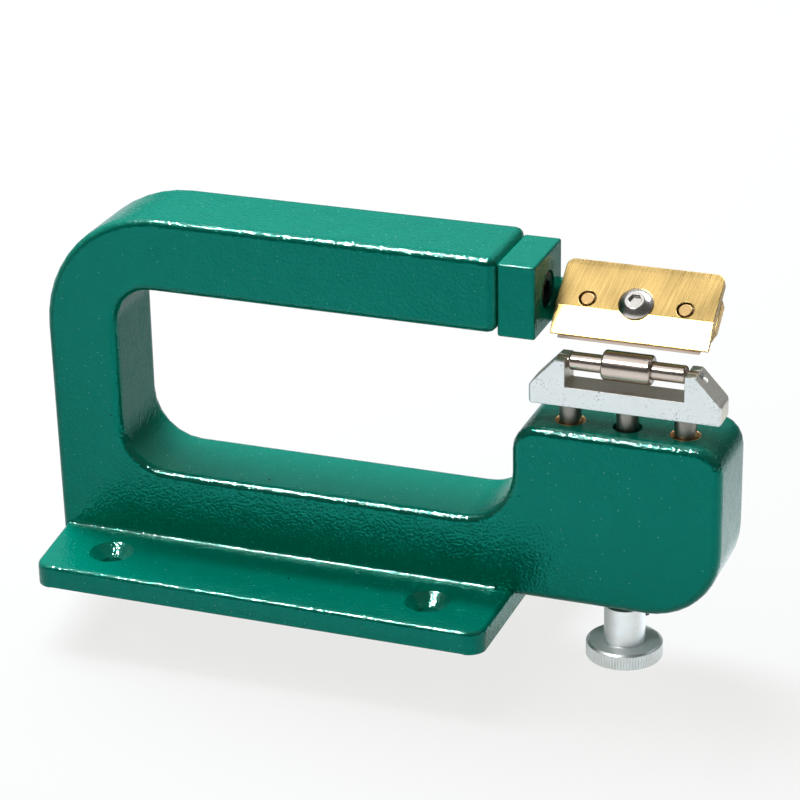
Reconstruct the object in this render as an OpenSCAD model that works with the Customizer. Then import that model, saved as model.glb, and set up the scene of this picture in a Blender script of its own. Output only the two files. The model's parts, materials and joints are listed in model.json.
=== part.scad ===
// Leather splitter for a bench edge: a cast C-frame holds a tilted blade over a small roller.
// A knob below the pedestal raises the roller, and leather is pulled by hand between the two.
// Origin: centre of the four base holes, on the underside of the base. Front is -Y, up is +Z.

/* [Casting] */
// Depth of the C-frame, front to back
frame_depth = 31.6; // [26:0.2:36]
// Height of the upper arm's top above the bench
arm_top = 110.9; // [104:0.1:120]
// Height of the upper arm's section
arm_h = 23.4; // [21:0.2:28]
// Right end of the upper arm, from the middle of the base holes
arm_end = 67.3; // [62:0.1:75]
// Left side of the column at the top of the casting, from the middle of the base holes
column_left = -76; // [-84:0.1:-72]
// How far the column's left side leans in towards the foot
column_lean = 1.2; // [0:0.1:3]
// Width of the column
column_w = 23.5; // [20:0.1:28]
// How far the column's inner side draws back towards the rear
column_draft = 1.2; // [0:0.1:2]
// Height of the lower arm's top above the bench
lower_arm_top = 29.2; // [24:0.2:32]
// Width of the pedestal
pedestal_w = 62.6; // [58:0.2:70]
// How far the pedestal's middle lies left of the roller's middle
pedestal_shift = 0.9; // [0:0.1:3]
// How far the pedestal's overhang reaches down below the base's upper face
overhang_drop = 1.7; // [0:0.1:3]
// Rounding of the casting's front edges
edge_r = 2.8; // [1:0.1:3.5]
// Rounding of the casting's back edges
back_edge_r = 6; // [2:0.25:6.5]
// Rounding of the upright corner at the back of the pedestal's right side
back_corner_r = 8; // [7:0.5:12]
// Outer radius of the bend between column and upper arm
outer_bend_r = 38; // [28:0.5:42]
// Inner radius of the upper bend
inner_bend_r = 11.8; // [6:0.2:16]
// Inner radius of the lower bend
foot_bend_r = 14.8; // [6:0.2:18]
// Radius where the lower arm turns up into the pedestal
pedestal_foot_r = 16; // [8:0.5:20]
// Radius of the pedestal's upper corners
pedestal_corner_r = 7.8; // [7:0.2:10]
// Radius of the pedestal's lower right corner
pedestal_heel_r = 22; // [8:0.5:26]

/* [Base flange] */
// Spacing of the base holes along the frame
base_hole_dx = 102; // [90:1:116]
// Spacing of the base holes across the frame
base_hole_dy = 60; // [54:1:70]
// Clearance hole for the bench screws
base_hole_d = 6.6; // [5:0.1:8.4]
// Countersink of the bench screws
base_sink_d = 13.6; // [10:0.1:16]
// Base beyond the holes' middles at the front and the back
base_side_margin = 15; // [12:0.5:20]
// Base beyond the holes' middles at the right end
base_right_margin = 21.6; // [12:0.2:28]
// Base beyond the holes' middles at the left end
base_left_margin = 22.2; // [16:0.2:28]
// How far the base's left end draws in towards its front and back
base_taper = 3.4; // [0:0.2:6]
// Thickness of the base
base_t = 7.2; // [6:0.1:10]
// Corner radius of the base
base_corner_r = 5.5; // [3:0.5:10]
// Rounding of the base's upper edge
base_edge_r = 1.6; // [0.5:0.1:2.5]
// Fillet where the base meets the frame
base_fillet_r = 1.4; // [0.8:0.1:4]

/* [Roller carriage] */
// Gap between blade and roller, as photographed
work_gap = 2.6; // [2.3:0.1:6]
// How far the roller's axis lies behind the cutting edge
roller_behind = 1.1; // [0:0.1:3]
// Height of the bracket above the pedestal, as photographed
post_show = 5.7; // [5.4:0.1:9]
// Spacing of the guide pins
pin_dx = 34.2; // [28:0.2:40]
// Diameter of the guide pins
pin_d = 6.5; // [5:0.1:8]
// Length of the guide pins below the bracket
pin_len = 28; // [22:0.5:32]
// Length of the guide pins in the bracket
pin_socket = 5; // [4:0.1:5.4]
// Free depth of the holes under the guide pins
pin_room = 8; // [5.5:0.5:9]
// Wall of the guide bushes
bush_wall = 1.3; // [0.8:0.05:2]
// Length of the guide bushes
bush_len = 24; // [12:0.5:26]
// Part of the bush wall taken by the chamfer at its mouth
bush_lead = 0.68; // [0.3:0.02:0.8]
// Wall of the bracket in front of and behind the pins
bracket_wall = 1.25; // [1:0.05:2.5]
// Height of the bracket's floor above its underside
bracket_floor_h = 6.1; // [5.9:0.1:8]
// Rounding of the bracket's end corners
bracket_end_r = 1; // [0.3:0.1:2]
// Height of the bracket's ends above its underside
bracket_end_h = 5.6; // [3:0.2:8]
// Clear width between the ears
ear_gap = 35.2; // [30:0.1:42]
// Width of the flat on top of each ear
ear_flat = 3.1; // [2:0.1:5]
// Length of the slope outside each ear
ear_slope = 7.8; // [6:0.1:10]
// Height of the ears above the roller's axis
ear_over = 1.25; // [0.5:0.05:3]
// Diameter of the roller's middle
roller_d = 8.8; // [6:0.1:12]
// Gap between the roller and the bracket's floor
roller_under = 2.25; // [1:0.05:4]
// Length of the roller's middle
roller_mid_len = 14.6; // [8:0.2:24]
// Diameter of the roller's thin ends
roller_end_d = 5.3; // [4.6:0.1:5.8]
// Turned rounding of the roller's shoulders
roller_round = 0.8; // [0.3:0.1:0.9]
// Diameter of the roller's axle
axle_d = 2.6; // [2:0.1:2.9]
// Length of the axle's seat in each ear
axle_in_ear = 3.4; // [2:0.1:3.8]

/* [Lifting screw and knob] */
// Thread diameter of the lifting screw
thread_d = 8; // [7:0.1:9]
// Wall of the threaded sleeve
nut_wall = 2; // [1.5:0.1:3]
// Length of the threaded sleeve
nut_len = 15; // [10:0.5:18]
// Length of thread above the sleeve, as photographed
thread_over = 15; // [6:0.5:16]
// How far the lifting screw reaches into the bracket
screw_socket = 4.2; // [3.6:0.1:5]
// Depth of the groove near the lifting screw's upper end
groove_depth = 1.05; // [0.7:0.05:1.4]
// Width of that groove
groove_w = 2.2; // [2:0.1:2.4]
// Height of the screw's end above that groove
groove_cap = 1; // [0.6:0.1:1.2]
// Step from the thread down to the knob's bore, each side
knob_step = 1; // [0.5:0.1:1.5]
// Gap between the hub and the pedestal's underside, as photographed
hub_gap = 1.3; // [1:0.1:5]
// Depth of the recess above the hub in the pedestal's underside
hub_recess = 3.4; // [1.5:0.1:5]
// Clearance around the hub in that recess
recess_gap = 1; // [0.5:0.1:2]
// Diameter of the knob's hub
hub_d = 12.2; // [10.5:0.1:14]
// Height of the hub above the disc
hub_h = 12.2; // [9:0.2:16]
// Diameter of the knob's disc over the knurl
disc_d = 22.7; // [18:0.1:30]
// Thickness of the knob's disc
disc_t = 4.9; // [3:0.1:6]
// Number of knurl ridges on the disc
knurl_n = 80; // [40:1:100]
// Depth of the knurl
knurl_depth = 0.35; // [0.2:0.05:0.5]
// Chamfer on the disc's upper edge, twice the one on its lower edge
disc_chamfer = 0.5; // [0.3:0.05:1]
// Direction of the knob's grub screw, from +X towards the back
grub_angle = 48; // [0:1:90]
// Diameter of the knob's grub screw
grub_d = 3; // [2.5:0.1:4]
// Height of the hub above the grub screw's axis
grub_below = 4.8; // [2.8:0.1:6]
// How far the grub screw stands out of the hub
grub_out = 1.6; // [0.5:0.1:2.5]

/* [Head block] */
// Thickness of the head block along the arm
head_t = 11.2; // [10:0.1:14]
// Depth of the head block, front to back
head_depth = 25.4; // [20:0.2:30]
// Height of the head block
head_h = 22.2; // [19:0.2:26]
// How far the head block's middle lies in front of the casting's mid-plane
head_ahead = 1.4; // [0:0.1:3]
// How far the head block's middle lies below the arm's middle
head_drop = 1.4; // [0:0.1:3]
// Diameter of the head clamp screw
clamp_d = 6; // [5:0.5:7]
// Head diameter of the head clamp screw
clamp_head_d = 10; // [8.5:0.1:11]
// Head height of the head clamp screw
clamp_head_h = 6; // [4:0.2:6.4]
// Thickness of the washer under that head
washer_t = 1.2; // [0.8:0.1:1.6]
// Depth of the screw in the arm
clamp_reach = 18; // [12:1:24]
// Depth of the screw's head below the block's face
clamp_sunk = 0.4; // [0:0.1:1]
// Gap between the head block and the blade holder
holder_gap = 2.2; // [1:0.1:5]

/* [Blade holder] */
// Slope of the holder above the horizontal
blade_slope = 37; // [30:0.5:44]
// How far the crease of the clamp plate lies below the head block's middle
crease_below = 3.9; // [2:0.1:6]
// How far that crease lies in front of the head block's middle
crease_ahead = 0.2; // [-1:0.1:1.5]
// Width of the brass plates
plate_w = 46.6; // [42:0.2:50]
// Thickness of the clamp plate
plate_t = 3; // [2.6:0.1:4]
// Length of the clamp plate's face above the crease
plate_face = 15.8; // [13:0.1:18]
// Length of the bevel below the crease, along the plate
bevel_len = 8.4; // [6:0.1:10]
// Thickness of the clamp plate at its lower edge
plate_edge_t = 0.5; // [0.4:0.1:1.6]
// Radius of the clamp plate's upper corners
plate_corner_r = 2.6; // [1:0.2:6]
// Length of the shallow slope along the clamp plate's upper edge
crown_len = 2.2; // [1:0.1:3]
// Drop of that slope
crown_drop = 0.15; // [0.1:0.05:0.8]
// Thickness of the blade
blade_t = 0.7; // [0.5:0.1:1.2]
// How far the blade stays inside the plates at each end
blade_inset = 2.4; // [0.5:0.1:4]
// How far the cutting edge stands out of the clamp plate
blade_out = 1; // [0.4:0.1:1.6]
// Height of the blade above the screw and pin row
blade_over = 4.2; // [3.6:0.1:6]
// Length of the ground edge along the blade
grind_len = 2; // [1:0.1:3]
// Thickness of the cutting edge
edge_t = 0.05; // [0.02:0.01:0.2]
// Thickness of the brass seat
seat_t = 3.6; // [2.6:0.1:4.4]
// Upper end of the seat above the crease line
seat_up = 9.4; // [8.6:0.2:12]
// Lower end of the seat below the crease line, at the blade
seat_down = 4.5; // [3:0.1:6]
// Chamfer at the seat's lower rear edge, along the plate
seat_chamfer = 4.9; // [2:0.1:6]
// Distance of the uppermost saw cut below the seat's upper end
cut_below = 1.7; // [1:0.1:3]
// Distance between the two upper saw cuts
cut_pitch = 1.8; // [1:0.1:2.5]
// Distance of the lower saw cut above the seat's lower end
cut_above = 3.4; // [2:0.1:4]
// Width of the saw cuts in the seat's right end
cut_w = 0.35; // [0.2:0.05:0.6]
// Depth of these saw cuts
cut_deep = 0.8; // [0.4:0.1:1.5]
// Thickness of the tongue behind the seat
tongue_t = 5; // [4:0.2:7]
// Upper end of the tongue above the seat
tongue_over = 4; // [2:0.2:6]
// Lower end of the tongue above the crease line
tongue_low = 0.8; // [-1:0.1:2]
// How far the tongue ends before the plates' right end
tongue_short = 2.8; // [0:0.1:6]
// Height of the screw and pin row above the crease line
fixing_up = 2.8; // [1:0.1:3.4]
// Spacing of the locating pins
locator_dx = 28.8; // [22:0.2:34]
// Diameter of the locating pins
locator_d = 3.9; // [3:0.1:4.5]
// Ring of clearance around the pins in the clamp plate
locator_ring = 0.6; // [0.4:0.05:1]
// Diameter of the blade clamp screw
blade_screw_d = 5; // [4:0.5:6]
// Head diameter of the blade clamp screw
blade_screw_head_d = 10.3; // [8:0.1:12]
// Head height of the blade clamp screw
blade_screw_head_h = 2.9; // [2:0.1:4]
// Hexagon socket of the blade clamp screw, across corners
blade_screw_hex = 4; // [2.5:0.1:4.4]
// Depth of that socket
blade_screw_hex_depth = 1.6; // [0.8:0.1:1.8]
// Spacing of the seat screws
seat_screw_dx = 15; // [12:0.5:20]
// Height of the seat screws above the crease line
seat_screw_up = 7.1; // [6.6:0.1:7.6]
// Diameter of the seat screws
seat_screw_d = 3; // [2.5:0.1:4]
// Head diameter of the seat screws
seat_screw_head_d = 5.6; // [4.6:0.1:7]
// Head height of the seat screws
seat_screw_head_h = 1.6; // [1:0.1:2.4]
// Brass left between the seat screws and the blade
seat_screw_skin = 0.6; // [0.4:0.1:1.2]

/* [Fits] */
// Radial running clearance of shafts in their holes
run_gap = 0.05; // [0.02:0.01:0.09]
// Clearance between each end of the roller and its ear
roller_side_gap = 0.3; // [0.2:0.05:0.6]
// Clearance around screws in plain holes
hole_gap = 0.35; // [0.3:0.05:0.6]
// Clearance around screw heads in their counterbores
head_gap = 0.6; // [0.2:0.05:1]

/* [Hidden] */
$fn = 64;

eps = 0.01;
back_y = frame_depth / 2;
column_inner = column_left + column_w;
arm_under = arm_top - arm_h;
overhang_z = base_t - overhang_drop;
column_foot_x = column_left + column_lean;
base_left = -base_hole_dx / 2 - base_left_margin;
base_right = base_hole_dx / 2 + base_right_margin;
base_front = -base_hole_dy / 2 - base_side_margin;

// Head block and blade holder, hung on the arm's end
head_y = -head_ahead;
head_z = arm_top - arm_h / 2 - head_drop;
head_face = arm_end + head_t;
seat_x = head_face - clamp_sunk - clamp_head_h - washer_t;
counterbore_d = clamp_head_d + 2 * head_gap;
crease_y = head_y - crease_ahead;
crease_z = head_z - crease_below;
work_x = head_face + holder_gap + plate_w / 2;
blade_w = plate_w - 2 * blade_inset;
bevel_depth = plate_t - plate_edge_t;
blade_low = -bevel_len - blade_out;
blade_back = -plate_t - blade_t;
seat_back = blade_back - seat_t;
tongue_back = seat_back - tongue_t;
tongue_up = seat_up + tongue_over;
edge_y = crease_y + blade_low * cos(blade_slope) + plate_t * sin(blade_slope);
edge_z = crease_z + blade_low * sin(blade_slope) - plate_t * cos(blade_slope);

// Roller carriage, placed below the cutting edge, and the pedestal below it
work_y = edge_y + roller_behind;
roller_z = edge_z - work_gap - roller_d / 2;
roller_len = ear_gap - 2 * roller_side_gap;
roller_axis_h = bracket_floor_h + roller_under + roller_d / 2;
bracket_z = roller_z - roller_axis_h;
bracket_d = pin_d + 2 * bracket_wall;
bracket_len = ear_gap + 2 * ear_flat + 2 * ear_slope;
ear_h = roller_axis_h + ear_over;
axle_len = ear_gap + 2 * axle_in_ear;
bush_d = pin_d + 2 * run_gap + 2 * bush_wall;
pedestal_top = bracket_z - post_show;
pedestal_left = work_x - pedestal_shift - pedestal_w / 2;
pedestal_right = pedestal_left + pedestal_w;

// Lifting screw and knob, from the bracket down through the pedestal
screw_top = bracket_z + screw_socket;
groove_d = pin_d - 2 * groove_depth;
groove_z = screw_top - groove_cap - groove_w;
retainer_d = 2.4;
retainer_tip_d = 1.5;
nut_d = thread_d + 2 * nut_wall;
nut_z = overhang_z + hub_recess;
screw_hole_d = thread_d + 2 * hole_gap;
thread_top = nut_z + nut_len + thread_over;
hub_top = overhang_z - hub_gap;
disc_top = hub_top - hub_h;
disc_bottom = disc_top - disc_t;
knob_bore_d = thread_d - 2 * knob_step;
recess_d = hub_d + 2 * recess_gap;

green = "#006e5c";
brass = "#d9b35f";
steel = "#9a9690";
dark_steel = "#55524e";
alloy = "#c9d0cf";
zinc = "#c4cccb";
black_steel = "#24262a";

// Corner arcs: a corner is [point, radius, steps], and inset moves every edge into the material
function unit(v) = v / norm(v);
function left_of(v) = [-v[1], v[0]];
function corner_arc(before, p, after, r, steps, inset) =
    let (u = unit(p - before), w = unit(after - p))
    let (m = left_of(u), q = left_of(w))
    let (turn = sign(u[0] * w[1] - u[1] * w[0]))
    let (centre = p + turn * r * (m + q) / (1 + m * q))
    let (start = atan2(m[1], m[0]), sweep = turn * acos(max(-1, min(1, u * w))))
    [for (i = [0 : steps])
        let (a = start + sweep * i / steps)
        centre - turn * (r - turn * inset) * [cos(a), sin(a)]];
function outline(corners, inset) =
    let (n = len(corners))
    [for (i = [0 : n - 1])
        each corner_arc(corners[(i + n - 1) % n][0], corners[i][0], corners[(i + 1) % n][0],
            corners[i][1], corners[i][2], inset)];

// Quarter round: how far an edge of radius r has drawn in at a depth from its face
function drawn_in(r, depth) = depth >= r ? 0 : r - sqrt(r * r - (r - depth) * (r - depth));

// Closed solid over rings of equal length; each end is closed by strips between a point and the
// one opposite, counted from the ring's start
module skin(rings) {
    n = len(rings[0]);
    top = (len(rings) - 1) * n;
    sides = [for (i = [0 : len(rings) - 2], j = [0 : n - 1])
        let (a = i * n + j, b = i * n + (j + 1) % n)
        each [[a, b, a + n], [b, b + n, a + n]]];
    first_end = [for (k = [0 : n / 2 - 2])
        each [[n - 2 - k, k + 1, k], [n - 1 - k, n - 2 - k, k]]];
    last_end = [for (k = [0 : n / 2 - 2])
        each [[top + k, top + k + 1, top + n - 2 - k], [top + k, top + n - 2 - k, top + n - 1 - k]]];
    polyhedron(points = [for (ring = rings) each ring], faces = concat(first_end, sides, last_end));
}

// Side view of the C-frame, round the outside from the arm's end and back along the inside, with
// equal steps on facing corners. Towards the rear the pedestal draws back by pull and the column by
// slant, and sharp corners keep a radius just above the inset
function frame_corners(pull, slant, inset) =
    let (sharp_r = max(edge_r, inset) + 0.2, inner_x = column_inner - slant) [
    [[arm_end, arm_top], sharp_r, 3],
    [[column_left, arm_top], outer_bend_r, 12],
    [[column_foot_x, overhang_z], sharp_r, 6],
    [[pedestal_right - pull, overhang_z], pedestal_heel_r, 10],
    [[pedestal_right - pull, pedestal_top], pedestal_corner_r, 5],
    [[pedestal_left, pedestal_top], pedestal_corner_r, 5],
    [[pedestal_left, lower_arm_top], pedestal_foot_r, 10],
    [[inner_x, lower_arm_top], foot_bend_r, 6],
    [[inner_x, arm_under], inner_bend_r, 12],
    [[arm_end, arm_under], sharp_r, 3]];

function frame_ring(y) =
    let (depth = back_y - abs(y))
    let (inset = drawn_in(y < 0 ? edge_r : back_edge_r, depth))
    let (pull = y < 0 ? 0 : max(0, drawn_in(back_corner_r, depth) - inset))
    let (slant = column_draft * (back_y + y) / frame_depth)
    [for (p = outline(frame_corners(pull, slant, inset), inset)) [p[0], y, p[1]]];

// Depths of the rings behind a face, on a round of radius r
function round_depths(r, steps) = [for (i = [0 : steps]) r * (1 - cos(90 * i / steps))];

module c_frame() {
    front = [for (d = round_depths(edge_r, 4)) d - back_y];
    rear = [for (d = round_depths(back_edge_r, 6)) back_y - d];
    ys = concat(front, [back_y - back_corner_r], [for (i = [0 : 6]) rear[6 - i]]);
    skin([for (y = ys) frame_ring(y)]);
}

// Plan of the base, its left end drawn in towards front and back
base_corners = [
    [[base_left + base_taper, base_front], base_corner_r, 6],
    [[base_right, base_front], base_corner_r, 6],
    [[base_right, -base_front], base_corner_r, 6],
    [[base_left + base_taper, -base_front], base_corner_r, 6],
    [[base_left, back_y], base_corner_r, 2],
    [[base_left, -back_y], base_corner_r, 2]];

module base_plate() {
    upper = [for (i = [0 : 4]) round_depths(base_edge_r, 4)[4 - i]];
    zs = concat([0], [for (d = upper) base_t - d]);
    rings = [for (z = zs)
        [for (p = outline(base_corners, drawn_in(base_edge_r, base_t - z))) [p[0], p[1], z]]];
    mirror([0, 0, 1])
        skin([for (ring = rings) [for (p = ring) [p[0], p[1], -p[2]]]]);
}

// Root strip between base and frame on one side: it fills the rounding under the frame's edge and
// ends in a hollow quarter round on the base
module base_root(side) {
    r = base_fillet_r;
    frame_r = side > 0 ? back_edge_r : edge_r;
    hollow = [for (i = [0 : 6]) [back_y + r - r * sin(15 * i), base_t + r - r * cos(15 * i)]];
    inner = back_y - frame_r - 1;
    root_top = max(base_t + r + eps, overhang_z + frame_r);
    section = concat([[inner, base_t - 1], [back_y + r, base_t - 1]], hollow,
        [[back_y, root_top], [inner, root_top]]);
    x0 = column_foot_x + frame_r;
    length = base_right - base_corner_r - x0;
    translate([x0, 0, 0])
        mirror([0, side > 0 ? 0 : 1, 0])
            rotate([90, 0, 90])
                linear_extrude(length)
                    polygon(section);
}

// Foot of the column: it goes straight down to the bench and fills the rounding of the frame's corner
module column_foot() {
    right = column_foot_x + column_w / 2;
    front = eps - back_y;
    corners = [
        [[column_foot_x, front], edge_r, 6],
        [[right, front], 1, 2],
        [[right, -front], 1, 2],
        [[column_foot_x, -front], back_edge_r, 6]];
    linear_extrude(overhang_z + max(edge_r, back_edge_r) + 0.4)
        polygon(outline(corners, 0));
}

module bench_hole(x, y) {
    sink = (base_sink_d - base_hole_d) / 2;
    translate([x, y, -1])
        cylinder(d = base_hole_d, h = base_t + 2);
    translate([x, y, base_t - sink])
        cylinder(d1 = base_hole_d, d2 = base_sink_d, h = sink + eps);
    translate([x, y, base_t])
        cylinder(d = base_sink_d, h = 1);
}

module post_hole(x, d, low) {
    translate([x, work_y, low])
        cylinder(d = d, h = pedestal_top - low + 1);
}

module frame_casting() {
    color(green)
    difference() {
        union() {
            c_frame();
            base_plate();
            base_root(1);
            base_root(-1);
            column_foot();
        }
        for (x = [-base_hole_dx / 2, base_hole_dx / 2], y = [-base_hole_dy / 2, base_hole_dy / 2])
            bench_hole(x, y);
        for (side = [-1, 1]) {
            x = work_x + side * pin_dx / 2;
            post_hole(x, bush_d, pedestal_top - bush_len);
            post_hole(x, pin_d + 2 * hole_gap, bracket_z - pin_len - pin_room);
        }
        post_hole(work_x, screw_hole_d, overhang_z - 1);
        translate([work_x, work_y, overhang_z - 1])
            cylinder(d = nut_d, h = hub_recess + nut_len + 1);
        translate([work_x, work_y, overhang_z - 1])
            cylinder(d = recess_d, h = hub_recess + 1);
        translate([arm_end - clamp_reach, head_y, head_z])
            rotate([0, 90, 0])
                cylinder(d = clamp_d, h = clamp_reach + 1);
    }
}

module guide_bush(side) {
    lead = bush_lead * bush_wall;
    color(brass)
    translate([work_x + side * pin_dx / 2, work_y, pedestal_top - bush_len])
    difference() {
        cylinder(d = bush_d, h = bush_len);
        translate([0, 0, -1])
            cylinder(d = pin_d + 2 * run_gap, h = bush_len + 2);
        translate([0, 0, bush_len - lead])
            cylinder(d1 = pin_d + 2 * run_gap, d2 = pin_d + 2 * run_gap + 2 * lead, h = lead);
    }
}

module guide_bush_left() { guide_bush(-1); }
module guide_bush_right() { guide_bush(1); }

module lift_nut() {
    color(brass)
    translate([work_x, work_y, nut_z])
    difference() {
        cylinder(d = nut_d, h = nut_len);
        translate([0, 0, -1])
            cylinder(d = thread_d + 2 * run_gap, h = nut_len + 2);
    }
}

// Head clamp screw along the arm, its head sunk in the head block
module head_clamp_screw() {
    socket_across = clamp_d - 0.2;
    shank = seat_x + washer_t - arm_end + clamp_reach;
    color(dark_steel)
    translate([arm_end - clamp_reach, head_y, head_z])
    rotate([0, 90, 0])
    difference() {
        union() {
            cylinder(d = clamp_d, h = shank + 1);
            translate([0, 0, shank])
                cylinder(d = clamp_head_d, h = clamp_head_h);
        }
        translate([0, 0, shank + clamp_head_h / 2])
            cylinder(d = socket_across, h = clamp_head_h, $fn = 6);
    }
}

module head_washer() {
    color(dark_steel)
    translate([seat_x, head_y, head_z])
    rotate([0, 90, 0])
    difference() {
        cylinder(d = clamp_head_d + 0.2, h = washer_t);
        translate([0, 0, -1])
            cylinder(d = clamp_d, h = washer_t + 2);
    }
}

// Places children in the holder's frame: origin in the middle of the crease, x along the blade,
// y up the slope and z out of the clamp plate's face
module on_slope() {
    translate([work_x, crease_y, crease_z])
        rotate([blade_slope, 0, 0])
            children();
}

module fixing_hole(x, d, from, to) {
    translate([x, fixing_up, from])
        cylinder(d = d, h = to - from);
}

module seat_screw_hole(d, from, to) {
    for (side = [-1, 1])
        translate([side * seat_screw_dx / 2, seat_screw_up, from])
            cylinder(d = d, h = to - from);
}

module head_block() {
    root = 4;
    far = 2 * frame_depth;
    tongue_len = holder_gap + plate_w - tongue_short;
    sink_d = seat_screw_head_d + 2 * hole_gap;
    color(green)
    difference() {
        union() {
            translate([arm_end, head_y - head_depth / 2, head_z - head_h / 2])
                cube([head_t, head_depth, head_h]);
            intersection() {
                translate([head_face - root, -far, crease_z - far])
                    cube([tongue_len + root, 2 * far, 2 * far]);
                on_slope()
                    translate([-far, tongue_low, tongue_back])
                        cube([2 * far, tongue_up - tongue_low, tongue_t]);
            }
        }
        translate([arm_end - 1, head_y, head_z])
            rotate([0, 90, 0])
                cylinder(d = clamp_d + 2 * hole_gap, h = head_t + 2);
        translate([seat_x, head_y, head_z])
            rotate([0, 90, 0])
                cylinder(d = counterbore_d, h = head_t);
        on_slope() {
            fixing_hole(0, blade_screw_d, tongue_back - 1, seat_back + 1);
            seat_screw_hole(seat_screw_d, tongue_back - 1, seat_back + 1);
            seat_screw_hole(sink_d, tongue_back - 1, tongue_back + seat_screw_head_h);
        }
    }
}

module blade_seat() {
    profile = [[seat_up, 0], [seat_up, -seat_t], [seat_chamfer - seat_down, -seat_t], [-seat_down, 0]];
    color(brass)
    on_slope()
    difference() {
        translate([-plate_w / 2, 0, blade_back])
            rotate([90, 0, 90])
                linear_extrude(plate_w)
                    polygon(profile);
        fixing_hole(0, blade_screw_d + 2 * hole_gap, seat_back - 1, blade_back + 1);
        for (side = [-1, 1])
            fixing_hole(side * locator_dx / 2, locator_d, seat_back - 1, blade_back + 1);
        seat_screw_hole(seat_screw_d, seat_back - 1, blade_back - seat_screw_skin);
        for (y = [seat_up - cut_below, seat_up - cut_below - cut_pitch, cut_above - seat_down])
            translate([plate_w / 2 - cut_deep, y - cut_w / 2, seat_back - 1])
                cube([cut_deep + 1, cut_w, seat_t + 2]);
    }
}

module blade() {
    blade_up = fixing_up + blade_over;
    profile = [[blade_up, 0], [blade_up, -blade_t], [blade_low + grind_len, -blade_t],
        [blade_low, -edge_t], [blade_low, 0]];
    color(steel)
    on_slope()
    difference() {
        translate([-blade_w / 2, 0, -plate_t])
            rotate([90, 0, 90])
                linear_extrude(blade_w)
                    polygon(profile);
        fixing_hole(0, blade_screw_d + 2 * hole_gap, blade_back - 1, 1 - plate_t);
        for (side = [-1, 1])
            fixing_hole(side * locator_dx / 2, locator_d + 2 * run_gap, blade_back - 1, 1 - plate_t);
    }
}

module clamp_plate() {
    half = plate_w / 2;
    flat_y = plate_face - plate_corner_r;
    color(brass)
    on_slope()
    difference() {
        union() {
            translate([-half, -bevel_len, -plate_t])
                cube([plate_w, bevel_len + flat_y, plate_t]);
            translate([plate_corner_r - half, 0, -plate_t])
                cube([plate_w - 2 * plate_corner_r, plate_face, plate_t]);
            for (side = [-1, 1])
                translate([side * (half - plate_corner_r), flat_y, -plate_t])
                    cylinder(r = plate_corner_r, h = plate_t);
        }
        translate([-half - 1, 0, 0])
            rotate([90, 0, 90])
                linear_extrude(plate_w + 2)
                    polygon([[0, 0], [-bevel_len, -bevel_depth], [-bevel_len - 1, -bevel_depth],
                        [-bevel_len - 1, 1], [0, 1]]);
        translate([-half - 1, plate_face, 0])
            rotate([90, 0, 90])
                linear_extrude(plate_w + 2)
                    polygon([[-crown_len, 0], [0, -crown_drop], [1, -crown_drop], [1, 1], [-crown_len, 1]]);
        fixing_hole(0, blade_screw_d + 2 * hole_gap, -plate_t - 1, 1);
        for (side = [-1, 1])
            fixing_hole(side * locator_dx / 2, locator_d + 2 * locator_ring, -plate_t - 1, 1);
    }
}

module locating_pin(side) {
    color(brass)
    on_slope()
        fixing_hole(side * locator_dx / 2, locator_d, seat_back, 0);
}

module locating_pin_left() { locating_pin(-1); }
module locating_pin_right() { locating_pin(1); }

// Domed head as a turned shape, with a hexagon socket
module blade_clamp_screw() {
    r = blade_screw_head_d / 2;
    h = blade_screw_head_h;
    rim = 0.5;
    ball_r = (r * r + (h - rim) * (h - rim)) / (2 * (h - rim));
    rim_angle = asin(r / ball_r);
    top_angle = asin(blade_screw_hex * 0.66 / ball_r);
    dome = [for (i = [0 : 8])
        let (a = rim_angle + (top_angle - rim_angle) * i / 8)
        [ball_r * sin(a), h - ball_r + ball_r * cos(a)]];
    color(steel)
    on_slope()
    translate([0, fixing_up, 0])
    difference() {
        union() {
            rotate_extrude()
                polygon(concat([[0, 0], [r, 0]], dome, [[0, dome[8][1]]]));
            translate([0, 0, tongue_back])
                cylinder(d = blade_screw_d, h = eps - tongue_back);
        }
        translate([0, 0, h - blade_screw_hex_depth])
            cylinder(d = blade_screw_hex, h = h, $fn = 6);
    }
}

module seat_screw(side) {
    color(dark_steel)
    on_slope()
    translate([side * seat_screw_dx / 2, seat_screw_up, tongue_back]) {
        cylinder(d = seat_screw_d, h = blade_back - seat_screw_skin - tongue_back);
        cylinder(d = seat_screw_head_d, h = seat_screw_head_h);
    }
}

module seat_screw_left() { seat_screw(-1); }
module seat_screw_right() { seat_screw(1); }

// Open seat of the axle in an ear: a round floor with straight walls up
module axle_seat() {
    seat_d = axle_d + 2 * run_gap;
    translate([0, 0, roller_axis_h])
        rotate([0, 90, 0])
            cylinder(d = seat_d, h = bracket_len + 2, center = true);
    translate([-bracket_len / 2 - 1, -seat_d / 2, roller_axis_h])
        cube([bracket_len + 2, seat_d, ear_h]);
}

module rear_screw_hole(x, z, d) {
    translate([x, 0, z])
        rotate([-90, 0, 0])
            cylinder(d = d, h = bracket_d);
}

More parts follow.
